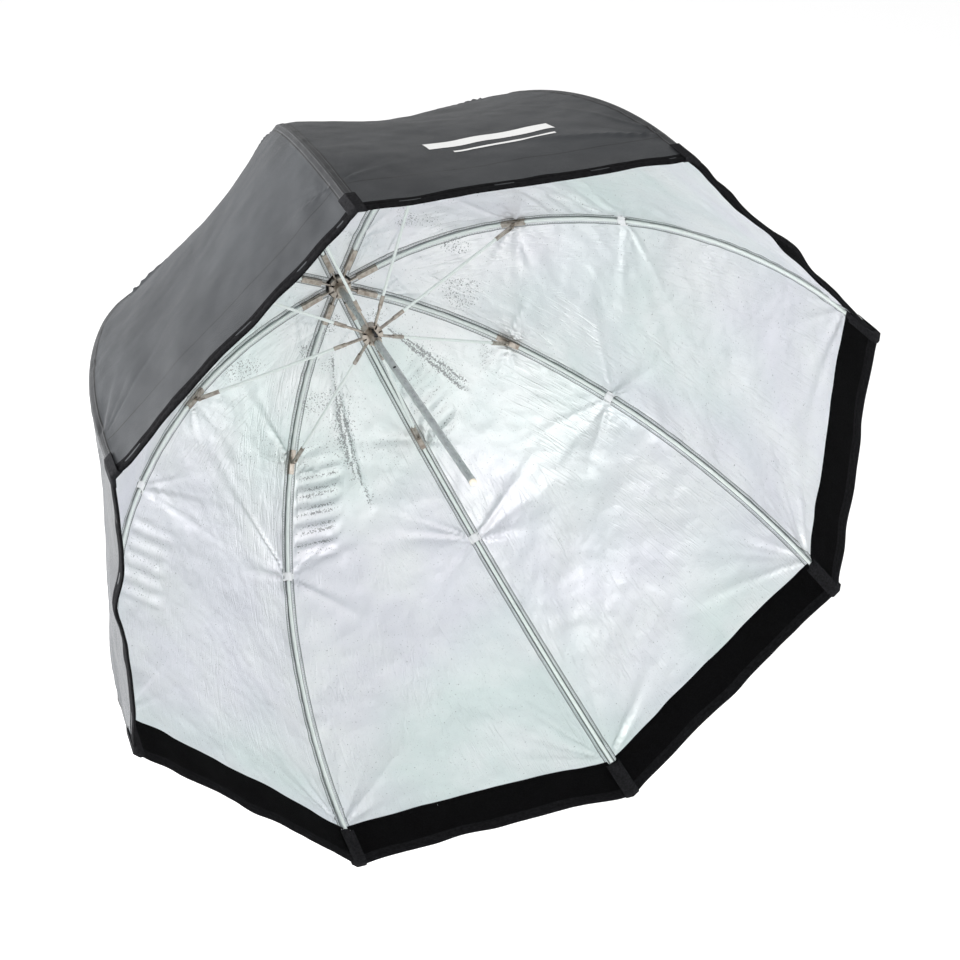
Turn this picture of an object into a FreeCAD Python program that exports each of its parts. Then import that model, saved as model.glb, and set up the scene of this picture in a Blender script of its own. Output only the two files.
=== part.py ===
import FreeCAD, Part
import math
import os

import Sketcher
from FreeCAD import Placement, Rotation, Vector

# Umbrella octabox: eight fibreglass ribs hinged on a notch at the rear of a steel shaft,
# held open by eight stretchers on a sliding runner, under a canopy of eight gores.
#
# Frame: the shaft runs along Y and the mouth faces -Y; +Z is up. The origin is on the shaft
# axis, in the middle of the free stretch where a lamp head or bracket clamps the shaft.
# "Depth" is the distance from the plane of the notch pivots towards the mouth.
# Ribs stand at 22.5 degrees from vertical and every 45 degrees on, so one gore is on top.

RIBS = 8
RIB_STEP = 360.0 / RIBS
HALF_GORE = RIB_STEP / 2.0

DIMENSIONS = (
    # shaft
    ("mount_depth", 305.0),
    ("shaft_radius", 4.0),
    ("shaft_bore", 3.2),
    ("shaft_front", 410.0),
    ("shaft_back", 10.0),
    ("stop_depth", 199.0),
    ("stop_width", 2.0),
    ("stop_sink", 0.3),
    ("tip_plug", 12.0),
    ("tip_brim", 3.8),
    ("tip_round", 2.2),
    ("tip_nose", 4.0),
    ("running_gap", 0.08),
    # notch, the fixed hub
    ("pivot_radius", 10.0),
    ("notch_radius", 13.0),
    ("notch_half", 4.5),
    ("notch_collar", 6.6),
    ("notch_collar_front", 11.0),
    ("slot_width", 2.0),
    ("slot_floor", 7.6),
    ("slot_back", 2.4),
    ("wire_radius", 0.6),
    # rear cap over the centre of the canopy
    ("cap_under", 5.3),
    ("cap_edge", 6.4),
    ("cap_crown", 13.0),
    ("cap_brim_radius", 20.0),
    ("cap_crown_radius", 9.0),
    # runner, the sliding hub
    ("runner_depth", 110.0),
    ("runner_radius", 12.0),
    ("runner_half", 5.0),
    ("sleeve_radius", 5.4),
    ("sleeve_front", 20.0),
    # thumb catch on the runner
    ("catch_width", 2.4),
    ("catch_pin_radius", 0.5),
    ("catch_pin_height", 7.4),
    ("catch_pin_front", 2.4),
    ("catch_knuckle", 1.3),
    ("catch_under", 6.1),
    ("catch_top", 7.6),
    ("catch_front", 19.0),
    ("catch_nose_back", 14.0),
    ("catch_nose_front", 16.4),
    ("catch_nose_height", 4.1),
    ("window_half", 1.95),
    ("window_back", 13.7),
    ("window_front", 17.2),
    ("window_floor", 3.2),
    ("window_top", 6.2),
    ("recess_half", 1.45),
    ("recess_back", 0.1),
    ("recess_front", 5.8),
    ("recess_floor", 5.7),
    ("recess_top", 9.2),
    # ribs
    ("rod_radius", 2.0),
    ("rod_start", 15.5),
    ("straight_length", 34.0),
    ("crown_length", 181.0),
    ("shoulder_length", 205.0),
    ("side_length", 256.0),
    ("hem_length", 41.0),
    ("start_angle", 2.0),
    ("crown_turn", 36.5),
    ("shoulder_turn", 27.0),
    ("side_turn", 21.5),
    ("flex_station", 218.0),
    ("flex_gap", 1.6),
    # steel fittings
    ("blade", 1.6),
    ("eye_radius", 1.95),
    ("wire_eye", 0.67),
    ("channel_half", 2.85),
    ("channel_inner", 2.05),
    ("channel_floor", 3.1),
    ("channel_inner_floor", 2.35),
    ("channel_lip", 1.6),
    ("fork_web", 13.0),
    ("fork_web_end", 15.0),
    ("fork_end", 38.0),
    ("clip_station", 203.0),
    ("clip_half", 14.0),
    ("clip_offset", 7.0),
    ("ear_radius", 2.2),
    ("rivet_radius", 1.0),
    ("rivet_gap", 0.05),
    ("rivet_head", 1.7),
    ("rivet_half", 1.85),
    ("rivet_head_end", 2.35),
    ("cut_past", 1.0),
    ("leaf_inner", 0.95),
    ("leaf", 0.8),
    # stretchers
    ("stretcher_radius", 1.7),
    ("leaf_end", 9.0),
    ("clip_crimp_start", 7.0),
    ("clip_crimp_end", 24.0),
    ("clip_crimp_radius", 2.4),
    ("tongue_length", 22.0),
    ("runner_crimp_start", 20.0),
    ("runner_crimp_end", 34.0),
    ("runner_crimp_radius", 2.3),
    # canopy
    ("crown_hole", 15.0),
    ("cloth_inner", 3.3),
    ("cloth", 1.0),
    ("profile_step", 45.0),
    ("panel_gap", 0.4),
    ("tape_inner", 2.2),
    ("tape", 0.9),
    ("tape_width", 50.0),
    ("pocket_half", 7.0),
    ("pocket_length", 38.0),
    ("pocket_lift", 0.6),
    ("pocket_thick", 2.0),
    ("tie_station", 338.0),
    ("tie_length", 9.0),
    ("tie_inner", 2.3),
    ("tie_outer", 3.2),
)

ALONG_Y = Rotation(Vector(1, 0, 0), -90)
ALONG_X = Rotation(Vector(0, 1, 0), 90)
UPRIGHT = Rotation()

doc = FreeCAD.newDocument("octabox")
sheet = doc.addObject("Spreadsheet::Sheet", "Dims")
for row, (alias, number) in enumerate(DIMENSIONS, start=1):
    sheet.set("A%d" % row, alias)
    sheet.set("B%d" % row, str(number))
    sheet.setAlias("B%d" % row, alias)
doc.recompute()

subparts = []


# ---------------------------------------------------------------- named dimensions

def dim(alias):
    return float(sheet.get(alias))


def total(text):
    """Value of a sum of dimensions, such as "shaft_radius + running_gap"; "" is zero."""
    result = 0.0
    sign = 1.0
    for word in text.split():
        if word in ("+", "-"):
            sign = 1.0 if word == "+" else -1.0
        else:
            result += sign * dim(word)
    return result


def bound(text):
    """The same sum as an expression on the sheet."""
    words = []
    for word in text.split():
        words.append(word if word in ("+", "-") else "Dims." + word)
    return " ".join(words)


def span(start, end):
    """The sum that leads from one place to another."""
    flipped = " ".join({"+": "-", "-": "+"}.get(word, word) for word in start.split())
    if start and not start.startswith("-"):
        flipped = "- " + flipped
    return (end + " " + flipped).strip()


# ---------------------------------------------------------------- building helpers

def keep(thing, label):
    """Name a finished sub-part."""
    thing.Label = label
    subparts.append(thing)
    return thing


def primitive(kind, name, sizes, base=("", "", ""), rotation=UPRIGHT):
    """A Part primitive whose sizes and place are bound to the sheet."""
    thing = doc.addObject(kind, name)
    for size_name, text in sizes.items():
        thing.setExpression(size_name, bound(text))
    thing.Placement = Placement(Vector(*[total(text) for text in base]), rotation)
    for axis, text in zip("xyz", base):
        if text:
            thing.setExpression("Placement.Base." + axis, bound(text))
    return thing


def cylinder(name, radius, height, base=("", "", ""), rotation=UPRIGHT):
    return primitive("Part::Cylinder", name, {"Radius": radius, "Height": height}, base, rotation)


def box(name, low, high):
    """A box between two corners, each a triple of sums."""
    sizes = {}
    for size_name, start, end in zip(("Length", "Width", "Height"), low, high):
        sizes[size_name] = span(start, end)
    return primitive("Part::Box", name, sizes, low)


def fuse(name, shapes):
    thing = doc.addObject("Part::MultiFuse", name)
    thing.Shapes = shapes
    return thing


def cut(name, base, tool):
    thing = doc.addObject("Part::Cut", name)
    thing.Base = base
    thing.Tool = tool
    return thing


def gather(name, links):
    """Separate solids that share one node."""
    thing = doc.addObject("Part::Compound", name)
    thing.Links = links
    return thing


def turned(name, corners):
    """A body turned about the shaft axis. Each corner is (place along Y, radius)."""
    body = doc.addObject("PartDesign::Body", name)
    sketch = body.newObject("Sketcher::SketchObject", name + "_outline")
    plane = [item for item in body.Origin.OriginFeatures if item.Role == "YZ_Plane"][0]
    sketch.AttachmentSupport = [(plane, "")]
    sketch.MapMode = "FlatFace"
    points = [Vector(total(along), total(radius), 0) for along, radius in corners]
    for index, point in enumerate(points):
        following = points[(index + 1) % len(points)]
        sketch.addGeometry(Part.LineSegment(point, following), False)
    for index in range(len(points)):
        following = (index + 1) % len(points)
        sketch.addConstraint(Sketcher.Constraint("Coincident", index, 2, following, 1))
    for index, corner in enumerate(corners):
        for kind, text in zip(("DistanceX", "DistanceY"), corner):
            made = sketch.addConstraint(Sketcher.Constraint(kind, -1, 1, index, 1, total(text)))
            if text:
                sketch.setExpression("Constraints[%d]" % made, bound(text))
    revolution = body.newObject("PartDesign::Revolution", name + "_turned")
    revolution.Profile = sketch
    revolution.ReferenceAxis = (sketch, ["H_Axis"])
    revolution.Angle = 360.0
    return body


# ---------------------------------------------------------------- geometry of the ribs

def rib_station(length):
    """Radius, depth and slope of the rib's centre line at a length from the notch pivot.

    The rib is straight in its fork, then three tangent arcs that grow flatter, then the
    straight hem of the canopy beyond the rod's tip. The slope is measured from radial.
    """
    radius = dim("pivot_radius")
    depth = 0.0
    slope = math.radians(dim("start_angle"))
    left = length
    spans = (("straight_length", None), ("crown_length", "crown_turn"),
             ("shoulder_length", "shoulder_turn"), ("side_length", "side_turn"))
    for span_name, turn_name in spans:
        span = dim(span_name)
        run = min(left, span)
        if turn_name is None:
            radius += run * math.cos(slope)
            depth += run * math.sin(slope)
        else:
            bend = span / math.radians(dim(turn_name))
            turned_slope = slope + run / bend
            radius += bend * (math.sin(turned_slope) - math.sin(slope))
            depth += bend * (math.cos(slope) - math.cos(turned_slope))
            slope = turned_slope
        left -= run
        if left <= 0.0:
            return radius, depth, slope
    return radius + left * math.cos(slope), depth + left * math.sin(slope), slope


def rod_length():
    return total("straight_length + crown_length + shoulder_length + side_length")


def in_rib_plane(radius, depth):
    """A point of the plane of a rib that stands straight up."""
    return Vector(0, dim("mount_depth") - depth, radius)


def facing(radius, depth, slope):
    """A frame in the rib's plane: +Z along the slope and -Y towards the inside."""
    return Placement(in_rib_plane(radius, depth), Rotation(Vector(1, 0, 0), math.degrees(slope)))


def rib_turn(index):
    """Turns the upright rib plane to rib number index, clockwise seen from the front."""
    angle = -HALF_GORE + RIB_STEP * index
    return Placement(Vector(), Rotation(Vector(0, 1, 0), angle))


def clip_pivot():
    """Radius and depth of the rivet that joins a rib's clip to its stretcher."""
    radius, depth, slope = rib_station(dim("clip_station"))
    offset = dim("clip_offset")
    return radius - offset * math.sin(slope), depth + offset * math.cos(slope)


def stretcher_line():
    """Length of a stretcher between its pivots, and its slope from the clip to the runner."""
    radius, depth = clip_pivot()
    inward = dim("pivot_radius") - radius
    forward = dim("runner_depth") - depth
    return math.hypot(inward, forward), math.atan2(forward, inward)


# ---------------------------------------------------------------- shaft, hubs and cap

def make_shaft():
    corners = (
        ("mount_depth - shaft_front", "shaft_bore"),
        ("mount_depth - shaft_front", "shaft_radius"),
        ("mount_depth - stop_depth", "shaft_radius"),
        ("mount_depth - stop_depth", "shaft_radius - stop_sink"),
        ("mount_depth - stop_depth + stop_width", "shaft_radius - stop_sink"),
        ("mount_depth - stop_depth + stop_width", "shaft_radius"),
        ("mount_depth + shaft_back", "shaft_radius"),
        ("mount_depth + shaft_back", "shaft_bore"),
    )
    keep(turned("shaft_tube", corners), "shaft")


def make_tip_cap():
    corners = (
        ("mount_depth - shaft_front + tip_plug", ""),
        ("mount_depth - shaft_front + tip_plug", "shaft_bore"),
        ("mount_depth - shaft_front", "shaft_bore"),
        ("mount_depth - shaft_front", "tip_brim"),
        ("mount_depth - shaft_front - tip_round", "tip_brim"),
        ("mount_depth - shaft_front - tip_nose", "tip_round"),
        ("mount_depth - shaft_front - tip_nose", ""),
    )
    keep(turned("tip_cap", corners), "shaft_tip_cap")


def make_rear_cap():
    corners = (
        ("mount_depth + cap_under", "shaft_radius"),
        ("mount_depth + cap_under", "cap_brim_radius"),
        ("mount_depth + cap_edge", "cap_brim_radius"),
        ("mount_depth + cap_crown", "cap_crown_radius"),
        ("mount_depth + cap_crown", ""),
        ("mount_depth + shaft_back", ""),
        ("mount_depth + shaft_back", "shaft_radius"),
    )
    keep(turned("cap", corners), "rear_cap")


def rib_slots(name, back, front):
    """Cutters for the eight radial slots of a hub, between two places along Y."""
    slots = []
    for index in range(RIBS):
        sizes = {"Length": "slot_width", "Width": span(front, back), "Height": "notch_radius"}
        slot = primitive("Part::Box", "%s_slot_%d" % (name, index + 1), sizes)
        corner = Placement(Vector(-dim("slot_width") / 2.0, total(front), dim("slot_floor")), UPRIGHT)
        slot.Placement = rib_turn(index).multiply(corner)
        slots.append(slot)
    return fuse(name + "_slots", slots)


def wire_ring(name, along):
    """The ring of wire on which the eyes hinge."""
    sizes = {"Radius1": "pivot_radius", "Radius2": "wire_radius"}
    return primitive("Part::Torus", name, sizes, ("", along, ""), ALONG_Y)


def make_notch():
    blank = turned("notch_blank", (
        ("mount_depth - notch_collar_front", "shaft_radius"),
        ("mount_depth - notch_collar_front", "notch_collar"),
        ("mount_depth - notch_half", "notch_collar"),
        ("mount_depth - notch_half", "notch_radius"),
        ("mount_depth + notch_half", "notch_radius"),
        ("mount_depth + notch_half", "shaft_radius"),
    ))
    slots = rib_slots("notch", "mount_depth + slot_back", "mount_depth - notch_half - notch_half")
    groove = wire_ring("notch_groove", "mount_depth")
    keep(cut("notch_hub", blank, fuse("notch_cutters", [slots, groove])), "notch")
    keep(wire_ring("notch_ring", "mount_depth"), "notch_wire")


def make_runner():
    centre = "mount_depth - runner_depth"
    blank = turned("runner_blank", (
        (centre + " - sleeve_front", "shaft_radius + running_gap"),
        (centre + " - sleeve_front", "sleeve_radius"),
        (centre + " - runner_half", "sleeve_radius"),
        (centre + " - runner_half", "runner_radius"),
        (centre + " + runner_half", "runner_radius"),
        (centre + " + runner_half", "shaft_radius + running_gap"),
    ))
    slots = rib_slots("runner", centre + " + runner_half + runner_half",
                      centre + " - runner_half - runner_half")
    groove = wire_ring("runner_groove", centre)
    window = box("catch_window",
                 ("- window_half", centre + " - window_front", "window_floor"),
                 ("window_half", centre + " - window_back", "window_top"))
    recess = box("catch_recess",
                 ("- recess_half", centre + " - recess_front", "recess_floor"),
                 ("recess_half", centre + " - recess_back", "recess_top"))
    shaped = cut("runner_hub", blank, fuse("runner_cutters", [slots, groove, window, recess]))
    pin = cylinder("catch_pin", "catch_pin_radius", "catch_width + catch_width",
                   ("- catch_width", centre + " - catch_pin_front", "catch_pin_height"), ALONG_X)
    keep(fuse("runner_with_pin", [shaped, pin]), "runner")
    ring = wire_ring("runner_ring", centre)
    ring_slots = rib_slots("runner_ring", centre + " + runner_half + runner_half",
                           centre + " - runner_half - runner_half")
    keep(cut("runner_ring_arcs", ring, ring_slots), "runner_wire")


def make_catch():
    """The sprung thumb lever that locks the runner open."""
    centre = "mount_depth - runner_depth"
    half = dim("catch_width") / 2.0
    arm = box("catch_arm",
              ("", centre + " - catch_front", "catch_under"),
              ("catch_width", centre + " - catch_pin_front", "catch_top"))
    nose = box("catch_nose",
               ("", centre + " - catch_nose_front", "catch_nose_height"),
               ("catch_width", centre + " - catch_nose_back", "catch_top"))
    knuckle = cylinder("catch_knuckle_round", "catch_knuckle", "catch_width",
                       ("", centre + " - catch_pin_front", "catch_pin_height"), ALONG_X)
    hole = cylinder("catch_hole", "catch_pin_radius + rivet_gap", "catch_width",
                    ("", centre + " - catch_pin_front", "catch_pin_height"), ALONG_X)
    lever = cut("catch_lever", fuse("catch_body", [arm, nose, knuckle]), hole)
    lever.Placement = Placement(Vector(-half, 0, 0), UPRIGHT)
    keep(lever, "runner_catch")


# ---------------------------------------------------------------- one rib and its stretcher

def centred(width, low, high):
    """Corners of a box centred on the rib plane; width, low and high are in that frame."""
    return (("- " + width, low[0], low[1]), (width, high[0], high[1]))


def rib_fork(name):
    """The steel fork at the notch: a tongue with an eye, and a channel that holds the rod."""
    half_blade = dim("blade") / 2.0
    tongue = primitive("Part::Box", name + "_tongue",
                       {"Length": "blade", "Width": "eye_radius + eye_radius", "Height": "fork_web"},
                       ("", "- eye_radius", ""))
    eye = cylinder(name + "_eye", "eye_radius", "blade", rotation=ALONG_X)
    hole = cylinder(name + "_hole", "wire_eye", "blade", rotation=ALONG_X)
    for piece in (tongue, eye, hole):
        piece.Placement = Placement(Vector(-half_blade, 0, 0), UPRIGHT).multiply(piece.Placement)
    channel = box(name + "_channel", *centred("channel_half", ("- channel_floor", "fork_web"),
                                              ("channel_lip", "fork_end")))
    inside = box(name + "_inside", *centred("channel_inner", ("- channel_inner_floor", "fork_web_end"),
                                            ("channel_lip + cut_past", "fork_end + cut_past")))
    solid = fuse(name + "_solid", [tongue, eye, channel])
    fork = cut(name, solid, fuse(name + "_cutters", [inside, hole]))
    fork.Placement = facing(*rib_station(0.0))
    return fork


def rib_clip(name):
    """The steel clip: a channel around the rod with an inward ear for the stretcher."""
    half_blade = dim("blade") / 2.0
    channel = box(name + "_channel", *centred("channel_half", ("- channel_floor", "- clip_half"),
                                              ("channel_lip", "clip_half")))
    inside = box(name + "_inside", *centred("channel_inner",
                                            ("- channel_inner_floor", "- clip_half - cut_past"),
                                            ("channel_lip + cut_past", "clip_half + cut_past")))
    ear = primitive("Part::Box", name + "_ear",
                    {"Length": "blade", "Width": "clip_offset - channel_inner_floor",
                     "Height": "ear_radius + ear_radius"},
                    ("", "- clip_offset", "- ear_radius"))
    eye = cylinder(name + "_eye", "ear_radius", "blade", ("", "- clip_offset", ""), ALONG_X)
    hole = cylinder(name + "_hole", "rivet_radius", "blade", ("", "- clip_offset", ""), ALONG_X)
    for piece in (ear, eye, hole):
        piece.setExpression("Placement.Base.x", "-Dims.blade / 2")
    body = fuse(name + "_body", [cut(name + "_trough", channel, inside), ear, eye])
    clip = cut(name, body, hole)
    clip.Placement = facing(*rib_station(dim("clip_station")))
    return clip


def clip_rivet(name):
    """The rivet through the clip's ear and the stretcher's two leaves."""
    shank = cylinder(name + "_shank", "rivet_radius", "rivet_half + rivet_half",
                     ("- rivet_half", "- clip_offset", ""), ALONG_X)
    left = cylinder(name + "_left", "rivet_head", "rivet_head_end - rivet_half",
                    ("- rivet_head_end", "- clip_offset", ""), ALONG_X)
    right = cylinder(name + "_right", "rivet_head", "rivet_head_end - rivet_half",
                     ("rivet_half", "- clip_offset", ""), ALONG_X)
    rivet = fuse(name, [shank, left, right])
    rivet.Placement = facing(*rib_station(dim("clip_station")))
    return rivet


def make_fittings(index):
    name = "fittings%d" % (index + 1)
    pieces = [rib_fork(name + "_fork"), rib_clip(name + "_clip"), clip_rivet(name + "_rivet")]
    fittings = gather(name, pieces)
    fittings.Placement = rib_turn(index)
    keep(fittings, "rib_fittings_%d" % (index + 1))


def make_stretcher(index):
    """A fibreglass stretcher drawn from the clip rivet, z = 0, to the runner eye."""
    name = "stretcher%d" % (index + 1)
    length, slope = stretcher_line()
    leaves = []
    for side, start in (("left", "- leaf_inner - leaf"), ("right", "leaf_inner")):
        plate = primitive("Part::Box", "%s_%s_leaf" % (name, side),
                          {"Length": "leaf", "Width": "eye_radius + eye_radius", "Height": "leaf_end"},
                          (start, "- eye_radius", ""))
        leaves.append(plate)
        leaves.append(cylinder("%s_%s_end" % (name, side), "eye_radius", "leaf", (start, "", ""), ALONG_X))
    crimp = cylinder(name + "_clip_crimp", "clip_crimp_radius", "clip_crimp_end - clip_crimp_start",
                     ("", "", "clip_crimp_start"))
    rivet_hole = cylinder(name + "_rivet_hole", "rivet_radius + rivet_gap", "rivet_half + rivet_half",
                          ("- rivet_half", "", ""), ALONG_X)
    socket = cylinder(name + "_clip_socket", "stretcher_radius", "clip_crimp_end - leaf_end",
                      ("", "", "leaf_end"))
    clip_end = cut(name + "_clip_end", fuse(name + "_clip_solid", leaves + [crimp]),
                   fuse(name + "_clip_cutters", [rivet_hole, socket]))

    tongue = primitive("Part::Box", name + "_tongue",
                       {"Length": "blade", "Width": "eye_radius + eye_radius", "Height": "tongue_length"},
                       ("", "- eye_radius", ""))
    eye = cylinder(name + "_eye", "eye_radius", "blade", rotation=ALONG_X)
    eye_hole = cylinder(name + "_eye_hole", "wire_eye", "blade", rotation=ALONG_X)
    for piece in (tongue, eye, eye_hole):
        piece.setExpression("Placement.Base.x", "-Dims.blade / 2")
    far_crimp = cylinder(name + "_runner_crimp", "runner_crimp_radius",
                         "runner_crimp_end - runner_crimp_start", ("", "", "runner_crimp_start"))
    far_socket = cylinder(name + "_runner_socket", "stretcher_radius",
                          "runner_crimp_end - tongue_length", ("", "", "tongue_length"))
    runner_end = cut(name + "_runner_end", fuse(name + "_runner_solid", [tongue, eye, far_crimp]),
                     fuse(name + "_runner_cutters", [eye_hole, far_socket]))
    runner_end.Placement = Placement(Vector(0, 0, length), Rotation(Vector(1, 0, 0), 180))

    rod = cylinder(name + "_rod", "stretcher_radius", "leaf_end", ("", "", "leaf_end"))
    rod.setExpression("Height", "%.6f - Dims.leaf_end - Dims.tongue_length" % length)
    stretcher = gather(name, [clip_end, rod, runner_end])
    pivot_radius, pivot_depth = clip_pivot()
    stretcher.Placement = rib_turn(index).multiply(facing(pivot_radius, pivot_depth, slope))
    keep(stretcher, "stretcher_%d" % (index + 1))


def rod_between(start, end):
    """The rib's rod between two stations, as straight runs and tangent arcs."""
    edges = []
    joints = [dim("straight_length")]
    for span in ("crown_length", "shoulder_length", "side_length"):
        joints.append(joints[-1] + dim(span))
    stations = [start] + [joint for joint in joints if start < joint < end] + [end]
    for first, last in zip(stations, stations[1:]):
        radii = [rib_station(place) for place in (first, (first + last) / 2.0, last)]
        points = [in_rib_plane(radius, depth) for radius, depth, slope in radii]
        if last <= dim("straight_length"):
            edges.append(Part.LineSegment(points[0], points[2]).toShape())
        else:
            edges.append(Part.Arc(*points).toShape())
    radius, depth, slope = rib_station(start)
    along = Vector(0, -math.sin(slope), math.cos(slope))
    section = Part.Wire(Part.makeCircle(dim("rod_radius"), in_rib_plane(radius, depth), along))
    return Part.Wire(edges).makePipeShell([section], True, False)


def make_rods(index):
    spans = (("rib_rod", dim("rod_start"), dim("flex_station")),
             ("rib_tip_rod", dim("flex_station") + dim("flex_gap"), rod_length()))
    for label, start, end in spans:
        rod = doc.addObject("Part::Feature", "%s%d" % (label, index + 1))
        rod.Shape = rod_between(start, end)
        rod.Placement = rib_turn(index)
        keep(rod, "%s_%d" % (label, index + 1))


# ---------------------------------------------------------------- canopy

def gore_profile(stations, offset):
    """Mid-gore section of the canopy at some distance outside the ribs' centre lines."""
    points = []
    flat = math.cos(math.radians(HALF_GORE))
    for place in stations:
        radius, depth, slope = rib_station(place)
        across = math.hypot(math.sin(slope), flat * math.cos(slope))
        points.append(in_rib_plane(radius * flat + offset * math.sin(slope) / across,
                                   depth - offset * flat * math.cos(slope) / across))
    curve = Part.BSplineCurve()
    curve.interpolate(points)
    return curve


def gore_layer(start, end, inner, outer):
    """A layer of cloth from one mid-gore, over the upright rib, to the next mid-gore.

    It is two solids that meet at the seam over the rib.
    """
    count = 2 + int(round((end - start) / dim("profile_step")))
    stations = [start + (end - start) * step / (count - 1) for step in range(count)]
    inside = gore_profile(stations, inner)
    outside = gore_profile(stations[::-1], outer)
    rim_edge = Part.LineSegment(inside.value(inside.LastParameter), outside.value(outside.FirstParameter))
    hub_edge = Part.LineSegment(outside.value(outside.LastParameter), inside.value(inside.FirstParameter))
    outline = Part.Wire([inside.toShape(), rim_edge.toShape(), outside.toShape(), hub_edge.toShape()])
    section = Part.Face(outline)
    reach = total("hem_length") + rod_length()
    section.translate(Vector(-dim("panel_gap") / 2.0, 0, 0))
    flat_gore = section.extrude(Vector(-reach, 0, 0))
    flat_gore.rotate(Vector(), Vector(0, 1, 0), HALF_GORE)
    beside_rib = Part.makeBox(reach, 2.0 * reach, 2.0 * reach, Vector(0, -reach, 0))
    half = flat_gore.common(beside_rib)
    return [half, half.mirror(Vector(), Vector(1, 0, 0))]


def make_crown_panel(index):
    """The crown of the canopy over one rib, from the rear cap to the clip."""
    inner = dim("cloth_inner")
    halves = gore_layer(0.0, dim("flex_station") - dim("panel_gap"), inner, inner + dim("cloth"))
    reach = dim("mount_depth")
    hole = Part.makeCylinder(dim("crown_hole"), 2.0 * reach, Vector(), Vector(0, 1, 0))
    crown = doc.addObject("Part::Feature", "crown_panel%d" % (index + 1))
    crown.Shape = Part.makeCompound([half.cut(hole) for half in halves])
    crown.Placement = rib_turn(index)
    keep(crown, "crown_panel_%d" % (index + 1))


def corner_pocket():
    """The webbing pocket at the rim that stops the rod's tip."""
    start = rod_length() + dim("rod_radius")
    pocket = Part.makeBox(2.0 * dim("pocket_half"), dim("pocket_thick"), dim("pocket_length"),
                          Vector(-dim("pocket_half"), -total("pocket_lift + pocket_thick"), 0))
    pocket.Placement = facing(*rib_station(start))
    return pocket


def rib_tie():
    """The cloth loop that ties the canopy to the rod."""
    loop = Part.makeCylinder(dim("tie_outer"), dim("tie_length"))
    loop = loop.cut(Part.makeCylinder(dim("tie_inner"), dim("tie_length")))
    loop.Placement = facing(*rib_station(dim("tie_station")))
    return loop


def make_side_panel(index):
    """The side of the canopy over one rib, with its rim tape, corner pocket and rib tie."""
    rim = rod_length() + dim("hem_length")
    inner = dim("cloth_inner")
    wall = gore_layer(dim("flex_station") + dim("panel_gap"), rim, inner, inner + dim("cloth"))
    band = gore_layer(rim - dim("tape_width"), rim, dim("tape_inner"), total("tape_inner + tape"))
    side = doc.addObject("Part::Feature", "side_panel%d" % (index + 1))
    side.Shape = Part.makeCompound(wall + band + [corner_pocket(), rib_tie()])
    side.Placement = rib_turn(index)
    keep(side, "side_panel_%d" % (index + 1))


# ---------------------------------------------------------------- assembly and output

def build():
    make_shaft()
    make_tip_cap()
    make_notch()
    make_rear_cap()
    make_runner()
    make_catch()
    for index in range(RIBS):
        make_fittings(index)
        make_rods(index)
        make_stretcher(index)
        make_crown_panel(index)
        make_side_panel(index)
    doc.recompute()


def check():
    for thing in doc.Objects:
        if "Invalid" in thing.State or "Error" in thing.State:
            raise RuntimeError("%s is in state %s" % (thing.Name, thing.State))
    for thing in subparts:
        if thing.Shape.isNull() or not thing.Shape.isValid() or not thing.Shape.Solids:
            raise RuntimeError("%s has no valid solid" % thing.Label)


def write():
    os.makedirs("parts", exist_ok=True)
    for thing in subparts:
        thing.Shape.exportStep("parts/%s.step" % thing.Label)
        box_of = thing.Shape.BoundBox
        print("%-16s %2d solids %10.1f mm3  y %7.1f %7.1f" %
              (thing.Label, len(thing.Shape.Solids), thing.Shape.Volume, box_of.YMin, box_of.YMax))


build()
check()
write()
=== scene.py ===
import math

import bpy
import numpy as np
from mathutils import Matrix, Vector


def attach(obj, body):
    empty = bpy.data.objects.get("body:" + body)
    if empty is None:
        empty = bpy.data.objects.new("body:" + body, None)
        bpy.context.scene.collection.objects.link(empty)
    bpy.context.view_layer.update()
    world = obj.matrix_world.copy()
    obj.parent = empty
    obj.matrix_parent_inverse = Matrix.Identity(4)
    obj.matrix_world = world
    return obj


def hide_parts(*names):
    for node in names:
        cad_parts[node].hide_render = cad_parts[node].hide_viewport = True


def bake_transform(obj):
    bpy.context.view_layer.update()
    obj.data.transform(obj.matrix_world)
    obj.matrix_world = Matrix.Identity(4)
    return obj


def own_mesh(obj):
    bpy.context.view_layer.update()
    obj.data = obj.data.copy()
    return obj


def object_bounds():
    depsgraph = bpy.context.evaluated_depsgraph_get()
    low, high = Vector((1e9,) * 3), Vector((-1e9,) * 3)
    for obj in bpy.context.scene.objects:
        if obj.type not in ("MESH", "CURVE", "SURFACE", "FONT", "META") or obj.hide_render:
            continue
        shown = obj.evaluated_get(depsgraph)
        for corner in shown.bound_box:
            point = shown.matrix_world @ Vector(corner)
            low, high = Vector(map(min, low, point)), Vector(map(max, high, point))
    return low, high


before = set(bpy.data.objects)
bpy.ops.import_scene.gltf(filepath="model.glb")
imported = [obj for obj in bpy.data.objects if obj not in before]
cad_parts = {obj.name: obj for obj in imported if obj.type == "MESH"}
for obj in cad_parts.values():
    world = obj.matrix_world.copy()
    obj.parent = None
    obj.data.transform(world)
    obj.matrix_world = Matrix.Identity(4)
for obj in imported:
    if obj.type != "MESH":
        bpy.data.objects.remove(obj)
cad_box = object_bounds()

# Octabox: eight ribs on an umbrella frame under a black shell with a silver lining.
# The shaft runs along Y, the mouth faces -Y and +Z is up. Lengths are in metres.
# "Station" is the length along a rib from its notch pivot; "offset" is the distance
# outside the rib's centre line; "depth" runs from the notch pivots towards the mouth.

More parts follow.
